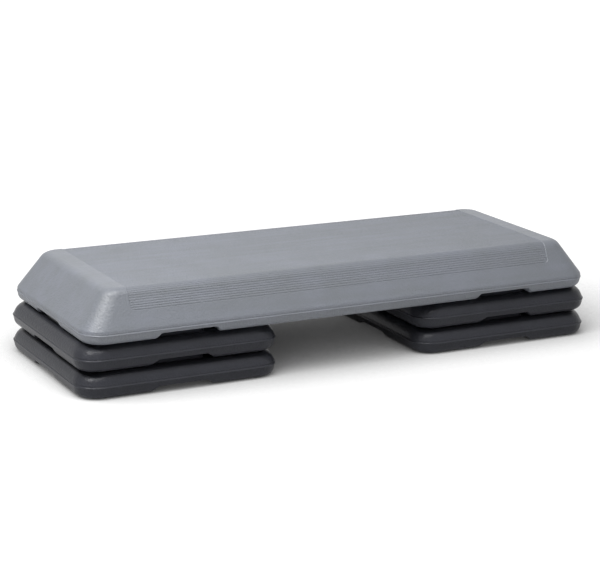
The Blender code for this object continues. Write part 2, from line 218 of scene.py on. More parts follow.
def sheetFaces(rowCount, columnCount, start, flip=False):
    # Quads of an open grid
    i = np.arange(rowCount - 1)[:, None]
    j = np.arange(columnCount - 1)[None, :]
    corner = i * columnCount + j
    quads = np.stack(np.broadcast_arrays(
        corner, corner + 1, corner + columnCount + 1, corner + columnCount), axis=-1)
    quads = quads.reshape(-1, 4) + start
    return (quads[:, ::-1] if flip else quads).tolist()


def boxBase(name):
    # Middle of the named piece's box in x and y, and its lowest z
    low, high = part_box(name)
    return (low.x + high.x) / 2, (low.y + high.y) / 2, low.z


def gridPoints(x, y, z):
    return np.stack([x, y, z], axis=-1).reshape(-1, 3)


def closedStack(name, x, y, heights):
    # A closed body through one ring of points at each height, lowest first
    rows, count = x.shape
    faces = wrapFaces(rows, count, 0)
    faces.append(list(range(count))[::-1])
    faces.append([rows * count - count + i for i in range(count)])
    z = np.broadcast_to(heights[:, None], x.shape)
    return pieceFrom(name, gridPoints(x, y, z).tolist(), faces)


def stackedRing(name, levels, cornerSteps):
    # Through rounded rectangles, each (half x, half y, radius, z)
    levels = np.array(levels, float)
    x, y = ringPoints(levels, ringStations(np.zeros(1), np.zeros(1), cornerSteps))
    return closedStack(name, x, y, levels[:, 3])


def turnedBody(name, profile, sides, centre):
    # A profile of (radius, height) carried once round the centre's Z
    profile = np.array(profile, float)
    angle = np.linspace(0, 2 * math.pi, sides, endpoint=False)
    x = centre[0] + profile[:, [0]] * np.cos(angle)
    y = centre[1] + profile[:, [0]] * np.sin(angle)
    return closedStack(name, x, y, centre[2] + profile[:, 1])


def lipAndBead(form):
    # (inset, height) of the lip's arc, its short wall and the rounded bead over it.
    # The bead is proud by half a cosine wave, and the inset is measured from its crest.
    turn = math.radians(90 - form["lipDraft"])
    arc = np.linspace(0, turn, form["lipSteps"])
    radius, proud = form["lipRadius"], form["beadProud"]
    foot = form["partingHeight"] - form["beadHalfFoot"]
    arcTop = form["clearance"] + radius * (1 - math.cos(turn))
    lean = math.tan(math.radians(form["lipDraft"]))
    reach = radius * math.sin(turn) + (foot - arcTop) * lean
    lip = np.column_stack([
        proud + reach - radius * np.sin(arc), form["clearance"] + radius * (1 - np.cos(arc))])
    rise = np.linspace(0, 1, form["wallSteps"] + 1)[1:-1] * (foot - arcTop)
    wall = np.column_stack([proud + (foot - arcTop - rise) * lean, arcTop + rise])
    wave = np.linspace(-1, 1, form["beadSteps"])
    bead = np.column_stack([
        proud * (1 - np.cos(wave * math.pi / 2) ** 2),
        form["partingHeight"] + wave * form["beadHalfFoot"]])
    return np.concatenate([lip, wall, bead])


def lineOverBead(form):
    # Rise over the bead and depth of the fine line there, sine squared across its width
    across = np.array([0.25, 0.5, 0.75, 1.0])
    return across * form["grooveWidth"], form["grooveDepth"] * np.sin(across * math.pi) ** 2


# The platform

platformLow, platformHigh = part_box("platform")
platformForm = {
    "halfLength": (platformHigh.x - platformLow.x) / 2,
    "halfWidth": (platformHigh.y - platformLow.y) / 2,
    "clearance": 0.0009,         # the underside's height over the plane of the feet
    "cornerRadius": 0.046,       # in plan, at the parting line
    "topCornerRadius": 0.0195,   # in plan, where the top turns flat
    "partingHeight": 0.0197,
    "skirtHeight": 0.0058,       # the steep band over the bead
    "skirtDraft": 2.0,           # degrees
    "skirtBlend": 0.0022,        # half height of the bend into the slope
    "sideSlope": 64.8,           # degrees
    "endSlope": 53.6,
    "sideShoulder": 0.020,       # radius of the bend between the slope and the top
    "endShoulder": 0.024,
    "lipRadius": 0.0136,
    "lipDraft": 12.0,
    "beadProud": 0.0009,
    "beadHalfFoot": 0.0013,
    "grooveDepth": 0.0005,       # of the fine line over the bead, where the mould halves shut off
    "grooveWidth": 0.0018,
    "lipSteps": 16, "wallSteps": 4, "beadSteps": 9, "bendSteps": 8, "cornerSteps": 14,
}
treadForm = {
    "halfLength": 0.4540,
    "grooves": 47,               # on each side of the middle
    "pitch": 0.00455,
    "grooveHalfWidth": 0.0012,
    "ledge": 0.0009,             # how far the lands lie under the smooth ends
    "grooveDepth": 0.0009,       # below the lands
    "slopeShare": 0.68,          # of that depth which is left on the slopes
    "slopeRun": 0.02,            # distance over which it falls to that
    "cornerRadius": 0.009,       # of the tread's own corners, down on the slopes
    "edge": 0.0009,              # width of the ledge's rounded step
    "grooveEnd": 0.0016,         # how far short of the edge a groove runs out
}
channelForm = {
    "mouth": 0.066,              # half width at the bottom
    "roof": 0.056,
    "height": 0.0134,
    "x": 0.343,                  # middle of the channels that run to the sides
    "riserX": 0.353,             # middle of a riser
    "reach": 0.116,              # from a riser's middle to where its channels start
    "blindEnd": 0.158,
    "steep": 7.0,                # rise over run of the end walls
    "fillet": 0.0022,            # round the roof
    "mouthFillet": 0.0016,
    "top": 0.018,                # rows of the shell over this height have no channel
}
beyondTread = 1.0                # stands for the distance of the rows that lie outside it
underForm = {
    "troughHalfLength": 0.115,
    "troughHalfWidth": 0.011,
    "troughSpacing": 0.095,
    "troughDepth": 0.045,
    "troughTaper": 0.004,        # by which it narrows to its end, half of it in the rounding
    "troughLip": 0.0025,         # width of the rounding at its mouth
    "cornerSteps": 10,
}


def platformSection(form):
    # Numbers that the section's rows share: where the top turns flat, and how far the end's
    # shoulder drops
    height = platformHigh.z - platformLow.z + form["clearance"]
    side, end = math.radians(form["sideSlope"]), math.radians(form["endSlope"])
    sideDrop = form["sideShoulder"] * (1 - math.cos(side))
    endDrop = form["endShoulder"] * (1 - math.cos(end))
    flatX = form["halfLength"] - slopeInset(height - endDrop, end, form)
    flatX -= form["endShoulder"] * math.sin(end)
    flatY = form["halfWidth"] - slopeInset(height - sideDrop, side, form)
    flatY -= form["sideShoulder"] * math.sin(side)
    return {"height": height, "side": side, "end": end, "endDrop": endDrop,
            "flatX": flatX, "flatY": flatY}


def slopeInset(height, slope, form):
    # Inset of the wall over the bead: a line at the skirt's draft, a parabola through the
    # bend, and a line at the slope
    skirtFoot = form["partingHeight"] + form["beadHalfFoot"]
    blend = form["skirtBlend"]
    past = np.asarray(height) - skirtFoot - form["skirtHeight"]
    bend = np.maximum(past + blend, 0.0) ** 2 / (4 * blend)
    past = np.where(past < blend, bend, past)
    lean = math.tan(math.radians(form["skirtDraft"]))
    return form["beadProud"] + (height - skirtFoot) * lean + past * (1 / math.tan(slope) - lean)


def acrossPlatform(distance, section, form):
    # y, z and the outward normal at a distance over the surface from the middle of the top:
    # flat, then the shoulder's arc, then the straight slope
    sign = np.where(distance < 0, -1.0, 1.0)
    far = np.abs(distance)
    radius = form["sideShoulder"]
    bent = np.clip((far - section["flatY"]) / radius, 0.0, section["side"])
    past = np.maximum(far - section["flatY"] - radius * section["side"], 0.0)
    y = np.minimum(far, section["flatY"]) + radius * np.sin(bent) + past * np.cos(bent)
    z = section["height"] - radius * (1 - np.cos(bent)) - past * np.sin(bent)
    return sign * y, z, sign * np.sin(bent), np.cos(bent)


def treadDepth(x, distance, slopeFrom, form):
    # How far the tread lies under the smooth surface: a ledge inside a rounded rectangle of
    # the unrolled surface, plus grooves of half-cosine section that run out at its edge and
    # are shallower on the slopes
    halfArc = (form["grooves"] - 0.5) * form["pitch"] + form["grooveHalfWidth"]
    inward = depthInside(
        np.abs(x), np.abs(distance), form["halfLength"], halfArc, form["cornerRadius"])
    offRoot = np.abs((distance / form["pitch"]) % 1 - 0.5) * form["pitch"]
    groove = np.cos(np.clip(offRoot / form["grooveHalfWidth"], 0, 1) * math.pi / 2) ** 2
    onSlope = ramp(slopeFrom, slopeFrom + form["slopeRun"], np.abs(distance))
    groove = groove * (1 - (1 - form["slopeShare"]) * onSlope)
    depth = form["ledge"] * ramp(0, form["edge"], inward)
    return depth + form["grooveDepth"] * groove * ramp(0, form["grooveEnd"], inward)


def platformChannels(x, y, form):
    # Height of the channels' roofs, mirrored in x and y: two open ones to the sides, one out
    # through each end, and a blind one on the inner side of each riser
    farX, farY = np.abs(x), np.abs(y)
    sides = channelRoof(np.abs(farX - form["x"]), [farY - form["reach"]], form)
    ends = channelRoof(farY, [farX - form["riserX"] - form["reach"]], form)
    blind = channelRoof(
        farY, [farX - form["blindEnd"], form["riserX"] - form["reach"] - farX], form)
    return np.maximum(np.maximum(sides, ends), blind)


def platformLines(tread, channel):
    # x and y of the lines that run up the straight sides, closer where the tread's corners
    # and the channels' walls are
    plainX, plainY = [0.0, 0.15, 0.30, 0.42], [0.0, 0.05, 0.10, 0.135]
    plainLowX, plainLowY = [channel["x"], 0.48, 0.495], [0.15]
    corner = tread["halfLength"] - tread["cornerRadius"] - 0.001
    treadEnd = tread["halfLength"] + 0.0008
    upperX = mirrored(np.concatenate([
        plainX, np.linspace(corner, treadEnd - 0.003, 8),
        np.linspace(treadEnd - 0.0026, treadEnd, 8), [treadEnd + 0.003]]))
    upperY = mirrored(plainY)
    wall = np.linspace(channel["roof"] - 0.002, channel["mouth"] + 0.0015, 12)
    foot = np.array([-0.0004, 0.0002, 0.0008, 0.0014, 0.0020, 0.0030])
    innerStart = channel["riserX"] - channel["reach"]
    outerStart = channel["riserX"] + channel["reach"]
    lowerX = mirrored(np.concatenate([
        upperX, plainLowX, channel["x"] - wall, channel["x"] + wall,
        channel["blindEnd"] + foot, innerStart - foot, outerStart + foot]))
    lowerY = mirrored(np.concatenate([upperY, plainLowY, wall, channel["reach"] + foot]))
    return upperX, upperY, lowerX, lowerY


def grooveLines(form, first, last):
    # Distances of the lines across each groove and of the land before it
    across = form["grooveHalfWidth"] * np.array([-1, -0.667, -0.333, 0, 0.333, 0.667, 1])
    roots = (np.arange(first, last) + 0.5) * form["pitch"]
    lands = np.arange(first, last) * form["pitch"]
    return np.concatenate([(roots[:, None] + across).ravel(), lands])


def lowerRows(form, section):
    # Half length, half width, corner radius and height of each row from the corner centres
    # of the underside out, round the lip and over the bead to the skirt's foot
    insetHeight = lipAndBead(form)
    underside = np.linspace(form["cornerRadius"], insetHeight[0, 0], 6)[:-1]
    rise, sunk = lineOverBead(form)
    foot = form["partingHeight"] + form["beadHalfFoot"] + rise
    insets = np.concatenate([
        underside, insetHeight[:, 0], slopeInset(foot, section["side"], form) + sunk])
    heights = np.concatenate([
        np.full(len(underside), form["clearance"]), insetHeight[:, 1], foot])
    return np.column_stack([
        form["halfLength"] - insets, form["halfWidth"] - insets, form["cornerRadius"] - insets,
        heights])


def upperRows(form, tread, section, firstLand):
    # The same for the rows over the bead, and each row's distance from the middle of the top:
    # first by height up the skirt, the bend and the smooth slope, then by distance
    skirtFoot = form["partingHeight"] + form["beadHalfFoot"]
    bend = skirtFoot + form["skirtHeight"]
    rise = np.linspace(-1, 1, form["bendSteps"]) * form["skirtBlend"]
    byHeight = np.concatenate([[skirtFoot + 0.002], bend + rise])
    border = (tread["grooves"] - 0.5) * tread["pitch"] + tread["grooveHalfWidth"]
    distance = np.concatenate([
        grooveLines(tread, firstLand, tread["grooves"]),
        border + np.array([-0.0002, 0.0003, 0.0008, 0.004, 0.012])])
    distance = np.unique(np.round(distance, 7))[::-1]
    rowY, rowZ, _, _ = acrossPlatform(distance, section, form)
    rowY = np.concatenate([
        form["halfWidth"] - slopeInset(byHeight, section["side"], form), rowY])
    rowZ = np.concatenate([byHeight, rowZ])
    distance = np.concatenate([np.full(len(byHeight), beyondTread), distance])

    # The end follows the same heights: its slope, its shoulder's arc, and then the flat top
    fall = section["height"] - rowZ
    rowX = form["halfLength"] - slopeInset(rowZ, section["end"], form)
    endTurn = np.arccos(np.clip(1 - fall / form["endShoulder"], -1, 1))
    onShoulder = section["flatX"] + form["endShoulder"] * np.sin(endTurn)
    rowX = np.where(fall < section["endDrop"], onShoulder, rowX)
    onTop = section["flatX"] - section["flatY"] + distance
    rowX = np.where(distance < section["flatY"], onTop, rowX)
    share = (form["halfWidth"] - rowY) / (form["halfWidth"] - section["flatY"])
    radius = form["cornerRadius"] + share * (form["topCornerRadius"] - form["cornerRadius"])
    return np.column_stack([rowX, rowY, radius, rowZ]), distance


def buildPlatform():
    form, tread, channel = platformForm, treadForm, channelForm
    section = platformSection(form)
    upperX, upperY, lowerX, lowerY = platformLines(tread, channel)
    upper = ringStations(upperX, upperY, form["cornerSteps"])
    lower = ringStations(lowerX, lowerY, form["cornerSteps"])

    # The ring from the underside to the skirt's foot, with the channels' mouths
    lowLevels = lowerRows(form, section)
    x, y = ringPoints(lowLevels, lower)
    z = np.broadcast_to(lowLevels[:, [3]], x.shape)
    opened = smoothMax(z, platformChannels(x, y, channel), channel["mouthFillet"])
    lowerPoints = gridPoints(x, y, np.where(z < channel["top"], opened, z))

    # The ring from there to the top, with the slopes' part of the tread
    firstLand = math.floor(section["flatY"] / tread["pitch"])
    upLevels, distance = upperRows(form, tread, section, firstLand)
    x, y = ringPoints(upLevels, upper)
    z = np.broadcast_to(upLevels[:, [3]], x.shape)
    far = np.broadcast_to(distance[:, None], x.shape)
    _, _, normalY, normalZ = acrossPlatform(far, section, form)
    onSide = np.broadcast_to(~np.isnan(upper[:, 4]), x.shape) & (far < beyondTread)
    depth = np.where(onSide, treadDepth(x, far, section["flatY"], tread), 0.0)
    upperPoints = gridPoints(x, y - np.sign(y) * depth * normalY, z - depth * normalZ)

    # The top between the two long shoulders
    topLine = np.append(grooveLines(tread, -firstLand, firstLand), firstLand * tread["pitch"])
    topLine = np.unique(np.round(topLine, 7))
    gridX, gridY = np.meshgrid(upperX, topLine)
    gridZ = section["height"] - treadDepth(gridX, gridY, section["flatY"], tread)
    topPoints = gridPoints(gridX, gridY, gridZ)

    # The underside between the corner centres
    innerX = form["halfLength"] - form["cornerRadius"]
    innerY = form["halfWidth"] - form["cornerRadius"]
    baseX, baseY = np.meshgrid(
        np.concatenate([[-innerX], lowerX, [innerX]]),
        np.concatenate([[-innerY], lowerY, [innerY]]))
    baseZ = smoothMax(np.full(baseX.shape, form["clearance"]),
                      platformChannels(baseX, baseY, channel), channel["mouthFillet"])
    basePoints = gridPoints(baseX, baseY, baseZ)

    # Faces, with a strip over the bead where the lower ring's closer lines end
    lowRows, upRows = len(lowLevels), len(upLevels)
    upStart = len(lowerPoints)
    topStart = upStart + len(upperPoints)
    baseStart = topStart + len(topPoints)
    lastRow = upStart + (upRows - 1) * len(upper)
    faces = wrapFaces(lowRows, len(lower), 0)
    faces += wrapFaces(upRows, len(upper), upStart)
    faces += sheetFaces(len(topLine), len(upperX), topStart)
    faces += sheetFaces(baseX.shape[0], baseX.shape[1], baseStart, flip=True)
    faces += stripFaces(lower, upper, (lowRows - 1) * len(lower), upStart)
    faces += endCaps(upper, lastRow, topStart, len(topLine), len(upperX))
    points = np.concatenate([lowerPoints, upperPoints, topPoints, basePoints])
    points[:, 2] += platformLow.z - form["clearance"]
    return pieceFrom("platform_shell", points.tolist(), faces)


def stripFaces(lower, upper, lowStart, upStart):
    # Joins two rings whose straight runs have unlike lines: each face takes one step of
    # the upper ring and every step of the lower ring under it
    match = [int(np.argmin(np.abs(matchKeys(lower) - key))) for key in matchKeys(upper)]
    faces = []
    for index, first in enumerate(match):
        following = (index + 1) % len(match)
        last = match[following] + (len(lower) if following == 0 else 0)
        under = [lowStart + k % len(lower) for k in range(first, last + 1)]
        faces.append(under + [upStart + following, upStart + index])
    return faces


def matchKeys(stations):
    # A number that grows round the ring and is the same for the same line or corner angle
    fixedX, fixedY, key = stations.T[4:]
    side = np.floor(key / 2)
    straight = np.where(np.isnan(fixedX), fixedY, fixedX)
    forward = np.where((side == 0) | (side == 3), straight, -straight)
    corner = key - 2 * side
    return 2 * side + np.where(np.isnan(straight), corner, 0.5 + 0.45 * forward)


def endCaps(upper, lastRow, topStart, lineCount, columnCount):
    # The two flat ends of the top: the ring's last row round each end, closed by the
    # outermost line of the tread's grid
    fixedX = upper[:, 4]
    rightMost, leftMost = np.nanmax(fixedX), np.nanmin(fixedX)
    count = len(upper)
    caps = []
    for edgeX, column, frontFirst in ((rightMost, columnCount - 1, True), (leftMost, 0, False)):
        marks = np.where(np.abs(fixedX - edgeX) < 1e-6)[0]
        frontMark = marks[upper[marks, 3] < 0][0]
        backMark = marks[upper[marks, 3] > 0][0]
        first, last = (frontMark, backMark) if frontFirst else (backMark, frontMark)
        around = [(first + k) % count for k in range((last - first) % count + 1)]
        inner = np.arange(1, lineCount - 1)
        inner = topStart + (inner[::-1] if frontFirst else inner) * columnCount + column
        caps.append([lastRow + k for k in around] + inner.tolist())
    return caps


footLow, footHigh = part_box("platform_foot_front_left")
footForm = {
    "radius": (footHigh.x - footLow.x) / 2,
    "height": footHigh.z - footLow.z,
    "padHeight": 0.0042,
    "stemRadius": 0.0038,
    "edgeRadius": 0.0016,
    "dishRadius": 0.0046,        # of the shallow dish in the pad's face
    "dishDepth": 0.0007,
    # Runs from the dish's edge, and the share of its depth there
    "dishEdge": [(-0.0016, 1.0), (-0.0008, 0.8), (0.0, 0.2), (0.0006, 0.0)],
    "padChamfer": (0.0003, 0.0004),
    "stemChamfer": 0.0008,
    "gap": 0.0003,               # between the foot and its socket
    "mouthFlare": 0.0006,        # by which the socket's mouth is wider
    "mouthDepth": 0.0014,
    "overcut": 0.004,            # how far the cutting shape stands out of the face
    "sides": 48, "socketSides": 40, "edgeSteps": 7,
}


def footPlaces(prefix):
    # Middle of each foot that the named piece carries, from the frame
    return [boxBase(name)[:2] for name in frame["nodes"] if name.startswith(prefix + "_foot_")]


def socketCutters(places, plane):
    # The stepped holes that the feet are pressed into, each a profile turned about Z
    form = footForm
    gap, over, flare = form["gap"], form["overcut"], form["mouthFlare"]
    pad, stem = form["radius"] + gap, form["stemRadius"] + gap
    padTop, stemTop = form["padHeight"] + gap, form["height"] + gap
    profile = [(pad + over, -over), (pad + flare, flare), (pad, form["mouthDepth"]),
               (pad, padTop), (stem, padTop), (stem, stemTop)]
    return [turnedBody("socket", profile, form["socketSides"], (x, y, plane)) for x, y in places]


def cutPlatform(shell):
    # Foot sockets and the three stiffening troughs between the riser seats
    form = underForm
    plane = platformLow.z - platformForm["clearance"]
    cutters = socketCutters(footPlaces("platform"), plane)
    taper, lip, deep = form["troughTaper"], form["troughLip"], form["troughDepth"]
    face = platformForm["clearance"]

    # Inset and height of each step of a trough, from its flared mouth to its rounded end
    steps = [(-2 * lip, -footForm["overcut"]), (-lip, face), (-0.3 * lip, face + 0.3 * lip),
             (0.0, face + 1.2 * lip), (taper, deep - taper), (1.5 * taper, deep - 0.3 * taper),
             (2 * taper, deep)]
    for row in (-1, 0, 1):
        levels = []
        for inset, height in steps:
            half = form["troughHalfWidth"] - inset
            levels.append((form["troughHalfLength"] - inset, half, half, plane + height))
        trough = stackedRing("trough", levels, form["cornerSteps"])
        moveMesh(trough, np.array([0.0, row * form["troughSpacing"], 0.0]))
        cutters.append(trough)
    cutAway(shell, cutters)
    shell.data.set_sharp_from_angle(angle=sharpAngle)


def moveMesh(obj, shift):
    # Adds one shift to every point
    flat = np.empty(len(obj.data.vertices) * 3)
    obj.data.vertices.foreach_get("co", flat)
    flat = (flat.reshape(-1, 3) + shift).ravel()
    obj.data.vertices.foreach_set("co", flat)
    obj.data.update()


platformShell = buildPlatform()
cutPlatform(platformShell)
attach(platformShell, "platform_unit")
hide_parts("platform")
print("platform:", len(platformShell.data.polygons), "faces")


# The risers

riserLow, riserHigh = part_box("riser_left_lower")
riserForm = {
    "half": (riserHigh.x - riserLow.x) / 2,
    "clearance": 0.0009,
    "rim": 0.0505,               # height of the rim over the feet's plane
    "cornerRadius": 0.045,
    "partingHeight": 0.0236,
    "wallDraft": 20.0,           # degrees
    "shoulderRadius": 0.026,
    "lipRadius": 0.0156,
    "lipDraft": 12.0,
    "beadProud": 0.0009,
    "beadHalfFoot": 0.0014,
    "grooveDepth": 0.0005,       # of the fine line over the bead, as on the platform
    "grooveWidth": 0.0018,
    "holeHalf": 0.100,
    "holeCornerRadius": 0.040,
    "holeEdgeRadius": 0.006,
    "bossFrom": 0.040,           # rows over this height can rise into a boss
    "channelTo": 0.019,          # and rows under this one into a channel
    "lipSteps": 18, "wallSteps": 4, "beadSteps": 9, "cornerSteps": 14, "edgeSteps": 7,
}
bossForm = {
    "middle": 0.1485,            # from the riser's middle to the boss's
    "halfReach": 0.0305,
    "halfWidth": 0.053,
    "cornerRadius": 0.010,
    "rise": 0.0075,              # over the rim
    "sink": 0.002,               # of its outline under the rim
    "steep": 1.9,                # rise over run of its walls
    "crown": 0.0045,             # rounding of the top edge
    "foot": 0.0016,              # fillet where it leaves the rim
}
riserChannelForm = {
    "mouth": 0.066,              # half width at the bottom
    "roof": 0.0492,
    "height": 0.0134,
    "reach": 0.116,              # from the riser's middle to where the channel starts
    "steep": 7.0,                # rise over run of the end wall
    "fillet": 0.0022,            # round the roof
    "mouthFillet": 0.0016,
}


def riserBosses(x, y, form, rim):
    # Height of the bosses' surface: the depth inside a rounded rectangle on each side,
    # times the draft, levelled off at the crown
    highest = np.full(x.shape, -1.0)
    for reach, across in ((np.abs(x), np.abs(y)), (np.abs(y), np.abs(x))):
        inward = depthInside(np.abs(reach - form["middle"]), across, form["halfReach"],
                             form["halfWidth"], form["cornerRadius"])
        wall = rim - form["sink"] + inward * form["steep"]
        highest = np.maximum(highest, smoothMin(wall, rim + form["rise"], form["crown"]))
    return highest


def riserChannels(x, y, form):
    # Height of the four channels' roofs, which run out through the lip
    farX, farY = np.abs(x), np.abs(y)
    return np.maximum(channelRoof(farY, [farX - form["reach"]], form),
                      channelRoof(farX, [farY - form["reach"]], form))


def holeStations(stations, straight, last):
    # The hole's station for each outer one. Its corner arc takes the outer run beyond the
    # hole's straight side in its outer thirds, bend = 30 (1 - (1 - share)^4) degrees, and
    # the outer corner in its middle third.
    made = stations.copy()
    lateral = np.where(np.isnan(stations[:, 4]), stations[:, 5], stations[:, 4])
    onCorner = np.isnan(lateral)
    side = np.floor(stations[:, 6] / 2)
    part = stations[:, 6] - 2 * side
    share = np.clip((np.abs(lateral) - straight) / (last - straight), 0, 1)
    bend = np.sign(part - 0.5) * 30 * (1 - (1 - share) ** 4)
    bend = np.where(onCorner, 30 + (part - 1) * keyTurn / 3, bend)
    angle = np.radians(90 * side + bend)
    beyond = onCorner | (np.abs(lateral) > straight)
    made[:, 2] = np.where(beyond, np.cos(angle), stations[:, 2])
    made[:, 3] = np.where(beyond, np.sin(angle), stations[:, 3])
    made[beyond, 4:6] = np.nan
    return made


def buildRiser():
    # One shell about the origin: its section is a closed loop up the outside, over the rim,
    # down the hole and back under, carried round the rounded square
    form = riserForm
    half, rim = form["half"], form["rim"]
    turn = math.radians(90 - form["wallDraft"])
    shoulder = form["shoulderRadius"]
    beadTop = form["partingHeight"] + form["beadHalfFoot"]
    wallTop = rim - shoulder * (1 - math.cos(turn))
    lean = math.tan(math.radians(form["wallDraft"]))
    rimHalf = half - form["beadProud"] - (wallTop - beadTop) * lean - shoulder * math.sin(turn)
    lip = lipAndBead(form)
    angles = np.radians(np.concatenate([
        np.linspace(90 - form["wallDraft"], 12, 10), np.linspace(9.5, 0, 8)]))
    rise, sunk = lineOverBead(form)
    rise, sunk = np.append(rise, 0.5 * (wallTop - beadTop)), np.append(sunk, 0.0)
    wall = half - form["beadProud"] - rise * lean - sunk
    halves = np.concatenate([half - lip[:, 0], wall, rimHalf + shoulder * np.sin(angles)])
    radii = np.concatenate([
        form["cornerRadius"] - lip[:, 0], np.full(len(rise) + len(angles), form["cornerRadius"])])
    heights = np.concatenate([
        lip[:, 1], beadTop + rise, rim - shoulder * (1 - np.cos(angles))])

    # Lines up the straight sides, closer at the bosses' corners and the channels' walls
    lastLine = rimHalf - form["cornerRadius"] - 0.002
    plain = [0.0, 0.02, 0.036, 0.090, 0.102, 0.115, lastLine]
    bossCorner, channelWall = np.linspace(0.042, 0.051, 8), np.linspace(0.052, 0.080, 26)
    lines = mirrored(np.concatenate([plain, bossCorner, channelWall]))
    stations = ringStations(lines, lines, form["cornerSteps"])
    inner = holeStations(stations, form["holeHalf"] - form["holeCornerRadius"], lastLine)
    outerX, outerY = ringPoints(np.column_stack([halves, halves, radii]), stations)

    # The hole, from its top edge down to its bottom edge
    edge = form["holeEdgeRadius"]
    arc = np.radians(np.linspace(0, 90, form["edgeSteps"]))
    down = np.concatenate([edge * (1 - np.cos(arc)), [(rim - form["clearance"]) / 2]])
    widen = np.concatenate([edge * (1 - np.sin(arc)), [0.0]])
    holeHeights = np.concatenate([rim - down, (form["clearance"] + down[:-1])[::-1]])
    widen = np.concatenate([widen, widen[:-1][::-1]])
    levels = np.column_stack([
        form["holeHalf"] + widen, form["holeHalf"] + widen, form["holeCornerRadius"] + widen])
    holeX, holeY = ringPoints(levels, inner)

    # The rim and the underside, each a straight blend between its two edges: runs in from
    # the outer edge over the rim, and out from the hole under it
    bossOuter = np.linspace(0.0006, 0.0052, 8)
    bossInner = np.linspace(rimHalf - 0.1255, rimHalf - 0.1165, 10)
    rimRuns = np.concatenate([
        bossOuter, [0.008, 0.018, 0.030, 0.042], bossInner, [rimHalf - 0.112]])
    rimShare = (rimRuns / (rimHalf - form["holeHalf"] - edge))[:, None]
    rimX = outerX[-1] + (holeX[0] - outerX[-1]) * rimShare
    rimY = outerY[-1] + (holeY[0] - outerY[-1]) * rimShare
    channelEnd = np.linspace(0.0096, 0.0125, 7)
    baseRuns = np.concatenate([[0.004, 0.008], channelEnd, [0.016, 0.030, 0.050, 0.068]])
    baseShare = (baseRuns / (halves[0] - form["holeHalf"] - edge))[:, None]
    baseX = holeX[-1] + (outerX[0] - holeX[-1]) * baseShare
    baseY = holeY[-1] + (outerY[0] - holeY[-1]) * baseShare

    x = np.concatenate([outerX, rimX, holeX, baseX])
    y = np.concatenate([outerY, rimY, holeY, baseY])
    z = np.concatenate([
        heights, np.full(len(rimRuns), rim), holeHeights,
        np.full(len(baseRuns), form["clearance"])])
    z = np.broadcast_to(z[:, None], x.shape)
    raised = smoothMax(z, riserBosses(x, y, bossForm, rim), bossForm["foot"])
    opened = smoothMax(z, riserChannels(x, y, riserChannelForm), riserChannelForm["mouthFillet"])
    z = np.where(z > form["bossFrom"], raised, np.where(z < form["channelTo"], opened, z))
    faces = wrapFaces(x.shape[0], x.shape[1], 0, closeRows=True)
    made = pieceFrom("riser_pattern", gridPoints(x, y, z).tolist(), faces)
    middleX = boxBase("riser_left_lower")[0]
    feet = [(footX - middleX, footY) for footX, footY in footPlaces("riser_left_lower")]
    cutAway(made, socketCutters(feet, 0.0))
    made.data.set_sharp_from_angle(angle=sharpAngle)
    return made


riserPattern = buildRiser()
riserBodies = {
    "riser_left_lower": "base_risers", "riser_left_upper": "left_upper_riser",
    "riser_right_lower": "base_risers", "riser_right_upper": "right_upper_riser",
}
riserShells = []
for nodeName, bodyName in riserBodies.items():
    middleX, middleY, baseZ = boxBase(nodeName)
    shell = inScene(nodeName + "_shell", riserPattern.data.copy())
    moveMesh(shell, np.array([middleX, middleY, baseZ - riserForm["clearance"]]))
    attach(shell, bodyName)
    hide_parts(nodeName)
    riserShells.append(shell)
bpy.data.objects.remove(riserPattern)
print("risers:", len(riserShells[0].data.polygons), "faces each")


# The feet

def buildFoot(name, centre):
    # Pad with a dished face and a rounded edge, and the stem above it, turned about Z
    form = footForm
    edge, radius = form["edgeRadius"], form["radius"]
    arc = np.radians(np.linspace(0, 90, form["edgeSteps"]))
    padTop, stemTop, stem = form["padHeight"], form["height"], form["stemRadius"]
    padIn, padDown = form["padChamfer"]
    stemIn = form["stemChamfer"]
    profile = [(form["dishRadius"] + run, form["dishDepth"] * share)
               for run, share in form["dishEdge"]]
    profile += list(zip(radius - edge + edge * np.sin(arc), edge * (1 - np.cos(arc))))
    profile += [(radius, padTop - padDown), (radius - padIn, padTop), (stem, padTop),
                (stem, stemTop - stemIn), (stem - stemIn, stemTop)]
    made = turnedBody(name, profile, form["sides"], centre)
    made.data.set_sharp_from_angle(angle=sharpAngle)
    return made


feetPieces = []
for bodyName, nodeNames in frame["record"]["behaviour"]["bodies"].items():
    for nodeName in nodeNames:
        if "_foot_" not in nodeName:
            continue
        foot = buildFoot(nodeName + "_rubber", boxBase(nodeName))
        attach(foot, bodyName)
        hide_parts(nodeName)
        feetPieces.append(foot)
print("feet:", len(feetPieces))


# Finishes

def startFinish(name, form):
    # A new material with its whole-surface values set, and what the nodes hang from
    made = bpy.data.materials.new(name)
    made.use_nodes = True
    tree = made.node_tree
    shader = tree.nodes["Principled BSDF"]
    for socket, value in form["wholeSurface"].items():
        shader.inputs[socket].default_value = value
    return made, tree, addNode(tree, "ShaderNodeTexCoord", {}).outputs["Object"]


def endFinish(tree, colour, rough, normal):
    shader = tree.nodes["Principled BSDF"]
    for socket, source in (("Base Color", colour), ("Roughness", rough), ("Normal", normal)):
        tree.links.new(source, shader.inputs[socket])


def noise(tree, place, scale, detail, roughness=0.5):
    return addNode(tree, "ShaderNodeTexNoise", {
        "Scale": scale, "Detail": detail, "Roughness": roughness}, {"Vector": place}).outputs["Fac"]


def spread(tree, value, between, start=0.3, end=0.7):
    # From start to end, where nearly all of a noise lies, onto the two values in between
    return addNode(tree, "ShaderNodeMapRange", {
        "From Min": start, "From Max": end, "To Min": between[0], "To Max": between[1]},
        {"Value": value}).outputs["Result"]


def tones(tree, pair, share):
    return addNode(tree, "ShaderNodeMix", {
        "data_type": "RGBA", 6: paint(pair[0]), 7: paint(pair[1])}, {0: share}).outputs[2]


